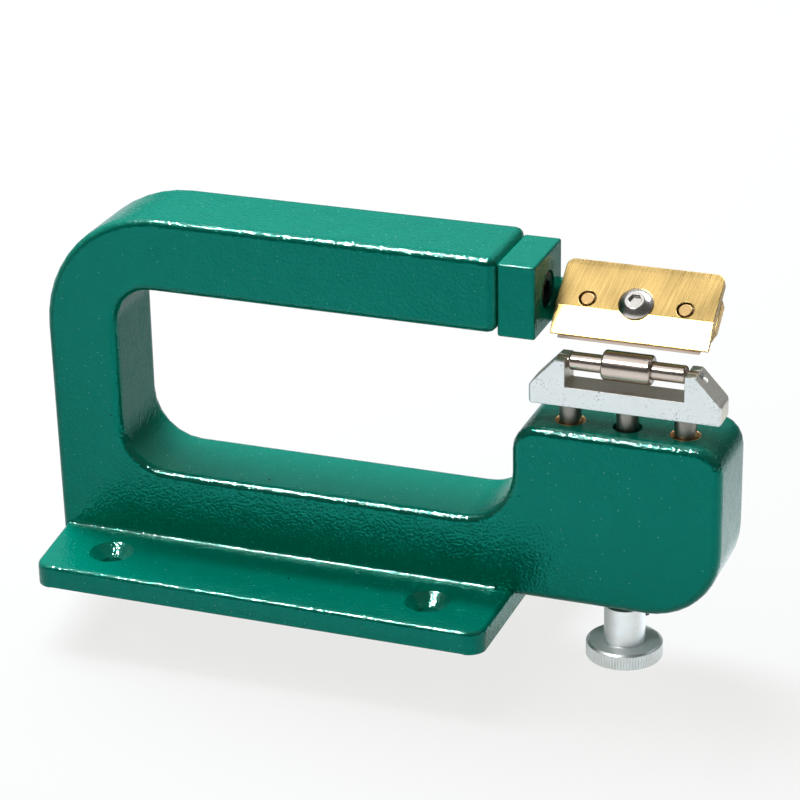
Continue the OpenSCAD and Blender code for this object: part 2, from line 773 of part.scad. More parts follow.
module roller_bracket() {
    half = bracket_len / 2;
    inner = ear_gap / 2;
    outer = inner + ear_flat;
    small_r = bracket_end_r / 4;
    side = [
        [[half, 0], bracket_end_r, 4],
        [[half, bracket_end_h], 2 * bracket_end_r, 5],
        [[outer, ear_h], bracket_end_r / 2, 3],
        [[inner, ear_h], small_r, 2],
        [[inner, bracket_floor_h], small_r, 2]];
    other = [for (i = [1 : len(side)])
        let (c = side[len(side) - i])
        [[-c[0][0], c[0][1]], c[1], c[2]]];
    plan = [for (c = [[-1, -1], [1, -1], [1, 1], [-1, 1]])
        [[c[0] * half, c[1] * bracket_d / 2], bracket_end_r, 4]];
    color(alloy)
    translate([work_x, work_y, bracket_z])
    difference() {
        intersection() {
            translate([0, bracket_d, 0])
                rotate([90, 0, 0])
                    linear_extrude(2 * bracket_d)
                        polygon(outline(concat(side, other), 0));
            translate([0, 0, -1])
                linear_extrude(ear_h + 2)
                    polygon(outline(plan, 0));
        }
        axle_seat();
        for (x = [-pin_dx / 2, pin_dx / 2]) {
            translate([x, 0, -1])
                cylinder(d = pin_d, h = pin_socket + 1);
            rear_screw_hole(x, pin_socket / 2, retainer_d);
        }
        translate([0, 0, -1])
            cylinder(d = pin_d + 2 * run_gap, h = screw_socket + 1);
        rear_screw_hole(0, groove_z + groove_w / 2 - bracket_z, retainer_d);
    }
}

module guide_pin(side) {
    color(dark_steel)
    translate([work_x + side * pin_dx / 2, work_y, bracket_z - pin_len])
        cylinder(d = pin_d, h = pin_len + pin_socket);
}

module guide_pin_left() { guide_pin(-1); }
module guide_pin_right() { guide_pin(1); }

module pin_screw(side) {
    reach = bracket_d / 2 - pin_d / 2;
    color(black_steel)
    translate([work_x + side * pin_dx / 2, work_y + pin_d / 2, bracket_z + pin_socket / 2])
    rotate([-90, 0, 0])
    difference() {
        cylinder(d = retainer_d, h = reach);
        translate([0, 0, reach / 2])
            cylinder(d = retainer_d / 2, h = reach, $fn = 6);
    }
}

module pin_screw_left() { pin_screw(-1); }
module pin_screw_right() { pin_screw(1); }

// Dog-point screw whose tip runs in the lifting screw's groove
module screw_retainer() {
    tip_y = groove_d / 2 + hole_gap;
    body_y = pin_d / 2 + hole_gap;
    reach = bracket_d / 2;
    color(black_steel)
    translate([work_x, work_y, groove_z + groove_w / 2])
    rotate([-90, 0, 0])
    difference() {
        union() {
            translate([0, 0, tip_y])
                cylinder(d = retainer_tip_d, h = reach - tip_y);
            translate([0, 0, body_y])
                cylinder(d = retainer_d, h = reach - body_y);
        }
        translate([0, 0, reach - 0.6])
            cylinder(d = retainer_d / 2, h = 1, $fn = 6);
    }
}

// Half outline of the roller: thin ends, shoulders and rounded edges as quarter rounds
module roller() {
    thin = roller_end_d / 2;
    thick = roller_d / 2;
    mid = roller_mid_len / 2;
    end = roller_len / 2;
    k = roller_round;
    end_round = [for (i = [0 : 4]) [thin - k + k * sin(22.5 * i), end - k + k * cos(22.5 * i)]];
    mid_round = [for (i = [0 : 4]) [thick - k + k * sin(22.5 * i), mid - k + k * cos(22.5 * i)]];
    upper = concat(end_round, [[thin, mid]], mid_round);
    lower = [for (i = [1 : len(upper)]) [upper[len(upper) - i][0], -upper[len(upper) - i][1]]];
    color(steel)
    translate([work_x, work_y, roller_z])
    rotate([0, 90, 0])
    difference() {
        rotate_extrude()
            polygon(concat([[0, end]], upper, lower, [[0, -end]]));
        cylinder(d = axle_d, h = roller_len + 2, center = true);
    }
}

module roller_axle() {
    color(steel)
    translate([work_x, work_y, roller_z])
    rotate([0, 90, 0])
        cylinder(d = axle_d, h = axle_len, center = true);
}

module lifting_screw() {
    color(dark_steel)
    translate([work_x, work_y, 0])
    difference() {
        union() {
            translate([0, 0, thread_top])
                cylinder(d = pin_d, h = screw_top - thread_top);
            translate([0, 0, hub_top])
                cylinder(d = thread_d, h = thread_top - hub_top);
            translate([0, 0, disc_bottom])
                cylinder(d = knob_bore_d, h = hub_top - disc_bottom + 1);
        }
        translate([0, 0, groove_z])
        difference() {
            cylinder(d = pin_d + 2, h = groove_w);
            translate([0, 0, -1])
                cylinder(d = groove_d, h = groove_w + 2);
        }
    }
}

// Direction of the knob's grub screw, starting at the lifting screw's side
module on_grub() {
    translate([work_x, work_y, hub_top - grub_below])
        rotate([0, 0, grub_angle])
            rotate([0, 90, 0])
                children();
}

module knob() {
    r = disc_d / 2;
    rim_r = r - knurl_depth - run_gap;
    low_chamfer = disc_chamfer / 2;
    rim = [for (i = [0 : 2 * knurl_n - 1])
        let (a = 180 * i / knurl_n, q = r - knurl_depth * (i % 2))
        q * [cos(a), sin(a)]];
    color(zinc)
    difference() {
        translate([work_x, work_y, 0]) {
            translate([0, 0, disc_bottom + low_chamfer])
                linear_extrude(disc_t - disc_chamfer - low_chamfer)
                    polygon(rim);
            translate([0, 0, disc_bottom])
                cylinder(r1 = rim_r - low_chamfer, r2 = rim_r, h = low_chamfer);
            translate([0, 0, disc_top - disc_chamfer])
                cylinder(r1 = rim_r, r2 = rim_r - disc_chamfer, h = disc_chamfer);
            translate([0, 0, disc_top - 1])
                cylinder(d = hub_d, h = hub_h + 1);
        }
        translate([work_x, work_y, disc_bottom - 1])
            cylinder(d = knob_bore_d, h = disc_t + hub_h + 2);
        on_grub()
            cylinder(d = grub_d, h = hub_d);
    }
}

module knob_grub_screw() {
    tip = knob_bore_d / 2;
    reach = hub_d / 2 + grub_out - tip;
    socket_depth = 1;
    color(black_steel)
    on_grub()
    translate([0, 0, tip])
    difference() {
        cylinder(d = grub_d, h = reach);
        translate([0, 0, reach - socket_depth])
            cylinder(d = grub_d / 2, h = socket_depth + 1, $fn = 6);
    }
}

frame_casting();
guide_bush_left();
guide_bush_right();
lift_nut();
head_clamp_screw();
head_washer();
head_block();
blade_seat();
blade();
clamp_plate();
locating_pin_left();
locating_pin_right();
blade_clamp_screw();
seat_screw_left();
seat_screw_right();
roller_bracket();
guide_pin_left();
guide_pin_right();
pin_screw_left();
pin_screw_right();
screw_retainer();
roller();
roller_axle();
lifting_screw();
knob();
knob_grub_screw();
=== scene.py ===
"""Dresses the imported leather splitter: an enamelled casting, a brass blade holder, a roller on its carriage
and a knurled knob, in soft studio light on a pale floor."""

import json
import math

import bmesh
import bpy
from bpy.props import FloatProperty, FloatVectorProperty, IntProperty, PointerProperty
from mathutils import Matrix, Vector


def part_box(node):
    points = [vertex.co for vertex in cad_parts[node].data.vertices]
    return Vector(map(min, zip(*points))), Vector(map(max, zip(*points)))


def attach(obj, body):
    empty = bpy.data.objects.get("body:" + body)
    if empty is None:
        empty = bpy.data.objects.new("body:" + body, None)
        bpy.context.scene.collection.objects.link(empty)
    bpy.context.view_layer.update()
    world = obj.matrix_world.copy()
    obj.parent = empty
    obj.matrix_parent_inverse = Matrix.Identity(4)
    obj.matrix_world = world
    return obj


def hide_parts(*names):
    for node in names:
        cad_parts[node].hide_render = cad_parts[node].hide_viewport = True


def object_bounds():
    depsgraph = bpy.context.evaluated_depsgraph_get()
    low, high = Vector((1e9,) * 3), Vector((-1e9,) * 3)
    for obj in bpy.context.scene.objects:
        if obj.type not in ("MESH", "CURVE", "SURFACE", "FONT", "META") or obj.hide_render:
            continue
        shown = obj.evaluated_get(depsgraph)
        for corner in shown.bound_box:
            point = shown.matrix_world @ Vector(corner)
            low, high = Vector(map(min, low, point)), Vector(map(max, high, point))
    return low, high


bl_info = {
    "name": "Leather splitter",
    "version": (1, 0, 0),
    "blender": (4, 5, 0),
    "location": "View3D > Sidebar > Splitter",
    "description": "Builds the finished looks of a bench leather splitter on its packed frame",
    "category": "Object",
}

MM = 0.001
BLADE_SLOPE = math.radians(37)  # tilt of the blade and its brass plates
BRUSH_LEAN = math.radians(9)  # lean of the brush marks on the clamp plate
KNOB_SHARP = math.radians(32)  # edges of the knob sharper than this stay crisp
RIDGE_SHARE = 0.46  # half the width of a knurl ridge, as a share of the spacing
# tones of the enamel's scattered pale dots and black pinholes, and the knob's grey
PALE_DOT_TONE, PINHOLE_TONE, ZINC_GREY = "#8fdccb", "#06140f", "#e2e4e2"
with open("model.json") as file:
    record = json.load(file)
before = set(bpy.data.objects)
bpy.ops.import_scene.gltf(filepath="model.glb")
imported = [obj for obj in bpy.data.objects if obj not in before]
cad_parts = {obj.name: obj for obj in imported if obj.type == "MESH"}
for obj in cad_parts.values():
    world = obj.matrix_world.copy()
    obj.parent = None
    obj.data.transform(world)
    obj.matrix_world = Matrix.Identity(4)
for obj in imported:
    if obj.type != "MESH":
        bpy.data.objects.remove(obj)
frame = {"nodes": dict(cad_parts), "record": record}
CAD_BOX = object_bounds()


def linear(code):
    """A colour written as an sRGB hex value, turned to linear."""
    levels = [int(code[i:i + 2], 16) / 255 for i in (1, 3, 5)]
    return [c / 12.92 if c <= 0.04045 else ((c + 0.055) / 1.055) ** 2.4 for c in levels]


def length(name, text, value):
    """A size property in millimetres, kept in metres."""
    return FloatProperty(name=name, description=text, default=value * MM, unit="LENGTH", precision=5)


def colour(name, text, code):
    """A colour property, written as an sRGB hex value."""
    return FloatVectorProperty(name=name, description=text, default=linear(code), subtype="COLOR", size=3)


class SplitterSizes(bpy.types.PropertyGroup):
    """Sizes of edges, knob and surface patterns"""

    cast_edge: length("Casting rims", "Rounding of the casting's machined rims", 0.35)
    head_edge: length("Head edges", "Rounding of the enamelled head block's edges", 0.75)
    bracket_edge: length("Bracket edges", "Rounding of the roller bracket's edges", 0.22)
    plate_edge: length("Plate edges", "Rounding of the brass plates' edges", 0.18)
    turned_edge: length("Turned edges", "Chamfer on turned steel and brass pieces", 0.2)
    hub_d: length("Knob hub", "Diameter of the knob's hub", 12.2)
    disc_t: length("Knob disc", "Thickness of the knob's disc", 4.9)
    bore_d: length("Knob bore", "Bore of the knob on its screw", 6.0)
    knurl_count: IntProperty(name="Knurl ridges", description="Ridges around the knob's disc", default=80)
    knurl_depth: length("Knurl depth", "Height of the ridges on the knob's disc", 0.35)
    disc_chamfer: length("Disc chamfer", "Chamfer on the disc's upper edge", 0.5)
    hub_fillet: length("Hub fillet", "Fillet where the hub meets the disc", 0.35)
    peel: length("Orange peel", "Spacing of the ripples in the enamel", 0.8)
    brush: length("Brush marks", "Spacing of the brush marks on brass", 0.2)
    floor_drop: length("Floor", "Gap between the knob and the floor, for the knob to go down", 5.5)


class SplitterColours(bpy.types.PropertyGroup):
    """Colours of the finishes and the floor"""

    enamel: colour("Enamel", "Gloss enamel of casting and head block", "#008c74")
    brass: colour("Brass", "Brushed brass of the blade holder", "#dfbd78")
    bronze: colour("Bronze", "Turned bearing bronze of bushes and pins", "#cfab74")
    steel: colour("Steel", "Polished steel of the screw", "#c9c6c1")
    blade: colour("Blade", "Ground tool steel of the blade", "#b8aaa0")
    pin_steel: colour("Pin steel", "Drawn steel of the guide pins", "#85817a")
    nickel: colour("Nickel", "Satin nickel of the roller", "#b8aca2")
    alloy: colour("Alloy", "Blasted alloy of the bracket", "#d3d8d7")
    # darker warm grey for the bracket's faces that do not face front or back: partly the machined finish, partly
    # painted shade
    milled_and_shade: colour("Milled alloy", "Cut faces of the bracket", "#d8d3c6")
    zinc: colour("Zinc", "Bright zinc plate of the knob", "#edf3f5")
    oxide: colour("Black oxide", "Blackened screws", "#1c1d20")
    floor: colour("Floor", "Pale floor", "#f4f4f2")


def sizes():
    return bpy.context.scene.splitter_sizes


def colours():
    return bpy.context.scene.splitter_colours


# Materials


def add(tree, kind, inputs=None, **settings):
    """Adds a node, sets its attributes, and fills its inputs, by name or number, with values or links."""
    node = tree.nodes.new(kind)
    for key, value in settings.items():
        setattr(node, key, value)
    for key, value in (inputs or {}).items():
        if isinstance(value, bpy.types.NodeSocket):
            tree.links.new(value, node.inputs[key])
        else:
            node.inputs[key].default_value = value
    return node


def surface(name, **constants):
    """A material with a Principled shader whose unvarying values sit on its own sockets."""
    material = bpy.data.materials.new(name)
    material.use_nodes = True
    tree = material.node_tree
    shader = tree.nodes["Principled BSDF"]
    for key, value in constants.items():
        shader.inputs[key.replace("_", " ")].default_value = value
    where = add(tree, "ShaderNodeTexCoord").outputs["Object"]
    return material, tree, shader, where


def wire(tree, shader, **made):
    """Links the first output of each node to the shader's input of that name, with _ for a space."""
    for key, node in made.items():
        tree.links.new(node.outputs[0], shader.inputs[key.replace("_", " ")])


def opaque(rgb):
    return (rgb[0], rgb[1], rgb[2], 1.0)


def shade(rgb, factor):
    """A colour made lighter or darker."""
    return tuple(min(1.0, c * factor) for c in rgb) + (1.0,)


def gloss_enamel(name, rgb, peel, depth):
    """Stoved gloss enamel on rough castings: a deep even green under a rippled glossy skin that breaks up
    reflections, with a few scattered pale dots and black pinholes. Flat faces mirror their surroundings in green;
    the rounded upper edges at the front glint white."""
    material, tree, shader, where = surface(name, IOR=1.8, Specular_Tint=(0.02, 1.0, 0.78, 1.0), Coat_IOR=1.5,
                                            Coat_Roughness=0.03)
    facing = add(tree, "ShaderNodeSeparateXYZ", {0: add(tree, "ShaderNodeNewGeometry").outputs["True Normal"]})
    upward = add(tree, "ShaderNodeMapRange", {0: facing.outputs["Z"], 1: 0.2, 2: 0.45})
    edge = add(tree, "ShaderNodeMapRange", {0: facing.outputs["Y"], 1: -0.15, 2: -0.4, 4: upward.outputs[0]})
    tinted = add(tree, "ShaderNodeMath", {0: edge.outputs[0], 1: -0.2, 2: 0.5}, operation="MULTIPLY_ADD")
    ripple = add(tree, "ShaderNodeTexNoise", {"Vector": where, "Scale": 1 / peel, "Detail": 0.6, "Roughness": 0.4})
    waves = add(tree, "ShaderNodeTexNoise", {"Vector": where, "Scale": 1 / (9 * peel), "Detail": 1.0})
    height = add(tree, "ShaderNodeMath", {0: waves.outputs["Fac"], 1: 1.2, 2: ripple.outputs["Fac"]},
                 operation="MULTIPLY_ADD")
    relief = add(tree, "ShaderNodeBump", {"Height": height.outputs[0], "Strength": 1.0, "Distance": depth})
    # a few scattered pale dots lighten the colour
    dot_cells = add(tree, "ShaderNodeTexVoronoi", {"Vector": where, "Scale": 1 / (2.1 * MM)})
    dot_near = add(tree, "ShaderNodeMath", {0: dot_cells.outputs["Distance"], 1: 0.075}, operation="LESS_THAN")
    dot_picked = add(tree, "ShaderNodeMath", {0: dot_cells.outputs["Color"], 1: 0.42}, operation="GREATER_THAN")
    pale_dots = add(tree, "ShaderNodeMath", {0: dot_near.outputs[0], 1: dot_picked.outputs[0]}, operation="MULTIPLY")
    pit_cells = add(tree, "ShaderNodeTexVoronoi", {"Vector": where, "Scale": 1 / (19 * MM)})
    pit_near = add(tree, "ShaderNodeMath", {0: pit_cells.outputs["Distance"], 1: 0.022}, operation="LESS_THAN")
    tone = add(tree, "ShaderNodeMixRGB", {0: waves.outputs["Fac"], 1: shade(rgb, 0.94), 2: shade(rgb, 1.06)})
    dotted_tone = add(tree, "ShaderNodeMixRGB", {0: pale_dots.outputs[0], 1: tone.outputs[0], 2: opaque(linear(PALE_DOT_TONE))})
    pitted = add(tree, "ShaderNodeMixRGB", {0: pit_near.outputs[0], 1: dotted_tone.outputs[0],
                                            2: opaque(linear(PINHOLE_TONE))})
    rough = add(tree, "ShaderNodeMapRange", {0: ripple.outputs["Fac"], 3: 0.05, 4: 0.1})
    wire(tree, shader, Base_Color=pitted, Roughness=rough, Normal=relief, Coat_Normal=relief, Coat_Weight=edge,
         Specular_IOR_Level=tinted)
    return material


def brushed_brass(name, rgb, spacing, lean, slope):
    """Rolled brass plate brushed by hand up its slope: fine bright and dull streaks side by side."""
    material, tree, shader, where = surface(name, Metallic=1.0)
    flat = add(tree, "ShaderNodeMapping", {"Vector": where, "Rotation": (-slope, 0, 0)})
    streak_size = (spacing, 70 * spacing, 6 * spacing)
    band_size = (50 * spacing, 60 * spacing, 40 * spacing)
    along = add(tree, "ShaderNodeMapping", {"Vector": flat.outputs[0], "Rotation": (0, 0, -lean),
                                            "Scale": streak_size}, vector_type="TEXTURE")
    streaks = add(tree, "ShaderNodeTexNoise", {"Vector": along.outputs[0], "Scale": 1.0, "Detail": 3.0,
                                               "Roughness": 0.6})
    bands = add(tree, "ShaderNodeMapping", {"Vector": flat.outputs[0], "Rotation": (0, 0, -lean),
                                            "Scale": band_size}, vector_type="TEXTURE")
    broad = add(tree, "ShaderNodeTexNoise", {"Vector": bands.outputs[0], "Scale": 1.0, "Detail": 1.0})
    mix = add(tree, "ShaderNodeMath", {0: streaks.outputs["Fac"], 1: 1.6, 2: broad.outputs["Fac"]},
              operation="MULTIPLY_ADD")
    tone = add(tree, "ShaderNodeMapRange", {0: mix.outputs[0], 1: 0.95, 2: 1.65})
    tint = add(tree, "ShaderNodeMixRGB", {0: tone.outputs[0], 1: shade(rgb, 0.6), 2: shade(rgb, 1.15)})
    rough = add(tree, "ShaderNodeMapRange", {0: streaks.outputs["Fac"], 1: 0.3, 2: 0.7, 3: 0.2, 4: 0.36})
    relief = add(tree, "ShaderNodeBump", {"Height": streaks.outputs["Fac"], "Strength": 0.5, "Distance": 0.02 * MM})
    wire(tree, shader, Base_Color=tint, Roughness=rough, Normal=relief)
    return material


def turned_metal(name, rgb, across, low, high, depth):
    """Turned or ground metal: fine rings or lines across one axis, dull and bright by turns, with faint stains.
    The lines are drawn about four times as coarse as real ones, so that they show."""
    material, tree, shader, where = surface(name, Metallic=1.0)
    line_size = tuple(0.12 * MM if a else 30 * MM for a in across)
    lined = add(tree, "ShaderNodeMapping", {"Vector": where, "Scale": line_size}, vector_type="TEXTURE")
    lines = add(tree, "ShaderNodeTexNoise", {"Vector": lined.outputs[0], "Scale": 1.0, "Detail": 2.0})
    stains = add(tree, "ShaderNodeTexNoise", {"Vector": where, "Scale": 1 / (4 * MM), "Detail": 4.0})
    tint = add(tree, "ShaderNodeMixRGB", {0: stains.outputs["Fac"], 1: shade(rgb, 0.9), 2: shade(rgb, 1.1)})
    rough = add(tree, "ShaderNodeMapRange", {0: lines.outputs["Fac"], 1: 0.3, 2: 0.7, 3: low, 4: high})
    relief = add(tree, "ShaderNodeBump", {"Height": lines.outputs["Fac"], "Strength": 0.6, "Distance": depth})
    wire(tree, shader, Base_Color=tint, Roughness=rough, Normal=relief)
    return material


def blasted_alloy(name, rgb, milled_and_shade):
    """Die-cast zinc alloy, blasted on its broad front and back faces and machined between the ears and at the ends:
    a pale even grey with small dark pores, and a darker, warmer grey on every face that does not face front or
    back, partly the machined finish and partly painted shade for light that falls mostly from the front."""
    material, tree, shader, where = surface(name, Metallic=1.0)
    grain = add(tree, "ShaderNodeTexNoise", {"Vector": where, "Scale": 1 / (0.35 * MM), "Detail": 3.0})
    cloud = add(tree, "ShaderNodeTexNoise", {"Vector": where, "Scale": 1 / (5 * MM), "Detail": 3.0})
    pores = add(tree, "ShaderNodeTexNoise", {"Vector": where, "Scale": 1 / (0.42 * MM), "Detail": 2.0})
    spots = add(tree, "ShaderNodeMapRange", {0: pores.outputs["Fac"], 1: 0.58, 2: 0.68})
    dense = add(tree, "ShaderNodeMapRange", {0: cloud.outputs["Fac"], 1: 0.44, 2: 0.68})
    dark = add(tree, "ShaderNodeMath", {0: spots.outputs[0], 1: dense.outputs[0]}, operation="MULTIPLY")
    # every face not facing front or back takes the darker warm grey: partly the machined finish, partly painted
    # shade
    facing = add(tree, "ShaderNodeSeparateXYZ", {0: add(tree, "ShaderNodeNewGeometry").outputs["True Normal"]})
    across = add(tree, "ShaderNodeMath", {0: facing.outputs["Y"]}, operation="ABSOLUTE")
    cast = add(tree, "ShaderNodeMapRange", {0: across.outputs[0], 1: 0.35, 2: 0.85})
    tone = add(tree, "ShaderNodeMixRGB", {0: cloud.outputs["Fac"], 1: shade(rgb, 0.92), 2: shade(rgb, 1.08)})
    milled_and_shaded_sides = add(tree, "ShaderNodeMixRGB", {0: cast.outputs[0], 1: opaque(milled_and_shade), 2: tone.outputs[0]})
    tint = add(tree, "ShaderNodeMixRGB", {0: dark.outputs[0], 1: milled_and_shaded_sides.outputs[0], 2: shade(rgb, 0.3)})
    rough = add(tree, "ShaderNodeMapRange", {0: grain.outputs["Fac"], 3: 0.34, 4: 0.52})
    relief = add(tree, "ShaderNodeBump", {"Height": grain.outputs["Fac"], "Strength": 0.5, "Distance": 0.02 * MM})
    wire(tree, shader, Base_Color=tint, Roughness=rough, Normal=relief)
    return material


def zinc_plate(name, rgb):
    """Bright zinc plate over turned steel: pale and bluish, with faint rainbow clouds and fine dull grain."""
    material, tree, shader, where = surface(name, Metallic=1.0)
    cloud = add(tree, "ShaderNodeTexNoise", {"Vector": where, "Scale": 1 / (6 * MM), "Detail": 3.0})
    grain = add(tree, "ShaderNodeTexNoise", {"Vector": where, "Scale": 1 / (0.5 * MM), "Detail": 3.0})
    facing = add(tree, "ShaderNodeSeparateXYZ", {0: add(tree, "ShaderNodeNewGeometry").outputs["True Normal"]})
    top = add(tree, "ShaderNodeMapRange", {0: facing.outputs["Z"], 1: 0.8, 2: 0.95, 3: 0.0, 4: 0.3})
    blues = add(tree, "ShaderNodeMapRange", {0: cloud.outputs["Fac"], 1: 0.35, 2: 0.68})
    tint = add(tree, "ShaderNodeMixRGB", {0: blues.outputs[0], 1: opaque(linear(ZINC_GREY)), 2: opaque(rgb)})
    satin = add(tree, "ShaderNodeMapRange", {0: grain.outputs["Fac"], 3: 0.26, 4: 0.46})
    rough = add(tree, "ShaderNodeMath", {0: satin.outputs[0], 1: top.outputs[0]}, operation="ADD")
    relief = add(tree, "ShaderNodeBump", {"Height": grain.outputs["Fac"], "Strength": 0.4, "Distance": 0.015 * MM})
    wire(tree, shader, Base_Color=tint, Roughness=rough, Normal=relief)
    return material


def black_oxide(name, rgb):
    """Blackened steel screws: near black, satin, with a faint oily mottle."""
    material, tree, shader, where = surface(name, Metallic=0.8)
    mottle = add(tree, "ShaderNodeTexNoise", {"Vector": where, "Scale": 1 / (0.6 * MM), "Detail": 2.0})
    tint = add(tree, "ShaderNodeMixRGB", {0: mottle.outputs["Fac"], 1: shade(rgb, 0.7), 2: shade(rgb, 1.5)})
    rough = add(tree, "ShaderNodeMapRange", {0: mottle.outputs["Fac"], 3: 0.28, 4: 0.45})
    wire(tree, shader, Base_Color=tint, Roughness=rough)
    return material


def finish_of(slot):
    """The finished material of a slot in the record, made once."""
    name = slot + "_finish"
    if name in bpy.data.materials:
        return bpy.data.materials[name]
    size, tone = sizes(), colours()
    along_x, along_z = (True, False, False), (False, False, True)
    # turned_metal takes the axes its lines lie across, its least and most roughness, and the lines' depth
    makers = {
        "green_enamel": lambda n: gloss_enamel(n, tone.enamel, size.peel, 0.17 * MM),
        "head_enamel": lambda n: gloss_enamel(n, tone.enamel, size.peel, 0.12 * MM),
        "brushed_brass": lambda n: brushed_brass(n, tone.brass, size.brush, BRUSH_LEAN, BLADE_SLOPE),
        "seat_brass": lambda n: turned_metal(n, tone.brass, (False, True, True), 0.25, 0.4, 0.02 * MM),
        "turned_brass": lambda n: turned_metal(n, tone.bronze, along_z, 0.24, 0.34, 0.004 * MM),
        "ground_steel": lambda n: turned_metal(n, tone.blade, along_x, 0.3, 0.45, 0.008 * MM),
        "polished_steel": lambda n: turned_metal(n, tone.steel, along_x, 0.18, 0.26, 0.002 * MM),
        "drawn_steel": lambda n: turned_metal(n, tone.pin_steel, (True, True, False), 0.32, 0.42, 0.004 * MM),
        "nickel_plate": lambda n: turned_metal(n, tone.nickel, along_x, 0.19, 0.25, 0.001 * MM),
        "cast_alloy": lambda n: blasted_alloy(n, tone.alloy, tone.milled_and_shade),
        "zinc_plate": lambda n: zinc_plate(n, tone.zinc),
        "black_oxide_steel": lambda n: black_oxide(n, tone.oxide),
    }
    return makers[slot](name)


# Meshes


def slot_of(node):
    return next(s["material_slot"] for s in frame["record"]["subparts"] if s["node"] == node)


def body_of(node):
    return next(b for b, nodes in frame["record"]["behaviour"]["bodies"].items() if node in nodes)


def welded_copy(node):
    """A mesh of a CAD node's shape, its loose triangles joined and its flat faces made whole."""
    bm = bmesh.new()
    bm.from_mesh(frame["nodes"][node].data)
    bmesh.ops.remove_doubles(bm, verts=bm.verts, dist=0.002 * MM)
    bmesh.ops.dissolve_limit(bm, angle_limit=math.radians(0.4), verts=bm.verts, edges=bm.edges)
    mesh = bpy.data.meshes.new(node)
    bm.to_mesh(mesh)
    bm.free()
    if "custom_normal" in mesh.attributes:
        mesh.attributes.remove(mesh.attributes["custom_normal"])
    return mesh


def as_plain_mesh(obj, name):
    """The object with its modifiers turned into mesh."""
    graph = bpy.context.evaluated_depsgraph_get()
    mesh = bpy.data.meshes.new_from_object(obj.evaluated_get(graph), preserve_all_data_layers=True, depsgraph=graph)
    obj.modifiers.clear()
    old = obj.data
    obj.data = mesh
    bpy.data.meshes.remove(old)
    mesh.name = name
    return obj


def stand_for(obj, node):
    """Puts a finished piece in a CAD node's place, on its body and with its finish."""
    slot = slot_of(node)
    obj.data.materials.clear()
    obj.data.materials.append(finish_of(slot))
    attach(obj, body_of(node))
    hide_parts(node)


def weigh_edges(mesh, limit, shortest):
    """Marks the edges to be rounded: those sharper than an angle and at least so long."""
    bm = bmesh.new()
    bm.from_mesh(mesh)
    weight = bm.edges.layers.float.new("bevel_weight_edge")
    for edge in bm.edges:
        if edge.is_manifold and edge.calc_face_angle() > limit and edge.calc_length() >= shortest:
            edge[weight] = 1.0
    bm.to_mesh(mesh)
    bm.free()


def softened(node, edge, segments=3, angle=34.0, shortest=0.0, clamp=True):
    """A copy of a CAD node with its sharp edges rounded and its flats kept flat to the light."""
    name, limit = node + "_finished", math.radians(angle)
    mesh = welded_copy(node)
    weigh_edges(mesh, limit, shortest)
    obj = bpy.data.objects.new(name, mesh)
    bpy.context.scene.collection.objects.link(obj)
    obj.data.polygons.foreach_set("use_smooth", [True] * len(obj.data.polygons))
    obj.data.set_sharp_from_angle(angle=limit)
    bevel = obj.modifiers.new("edges", "BEVEL")
    bevel.width, bevel.segments = edge, segments
    bevel.limit_method, bevel.use_clamp_overlap = "WEIGHT", clamp
    weigh = obj.modifiers.new("flats", "WEIGHTED_NORMAL")
    weigh.keep_sharp, weigh.weight = True, 60
    stand_for(as_plain_mesh(obj, name), node)


def repaint(*nodes):
    """CAD nodes whose shape stays get their finished material."""
    for node in nodes:
        for slot in frame["nodes"][node].material_slots:
            slot.material = finish_of(slot_of(node))


def lathe(name, profile, axis, steps=96):
    """A closed hollow mesh turned about a vertical axis; profile is a loop of (radius, height)."""
    bm = bmesh.new()
    turn = [2 * math.pi * i / steps for i in range(steps)]
    rings = [[bm.verts.new((axis.x + radius * math.cos(a), axis.y + radius * math.sin(a), z)) for a in turn]
             for radius, z in profile]
    for low, high in zip(rings, rings[1:] + rings[:1]):
        for i in range(steps):
            j = (i + 1) % steps
            bm.faces.new((low[i], low[j], high[j], high[i]))
    bmesh.ops.recalc_face_normals(bm, faces=bm.faces)
    mesh = bpy.data.meshes.new(name)
    bm.to_mesh(mesh)
    bm.free()
    return mesh


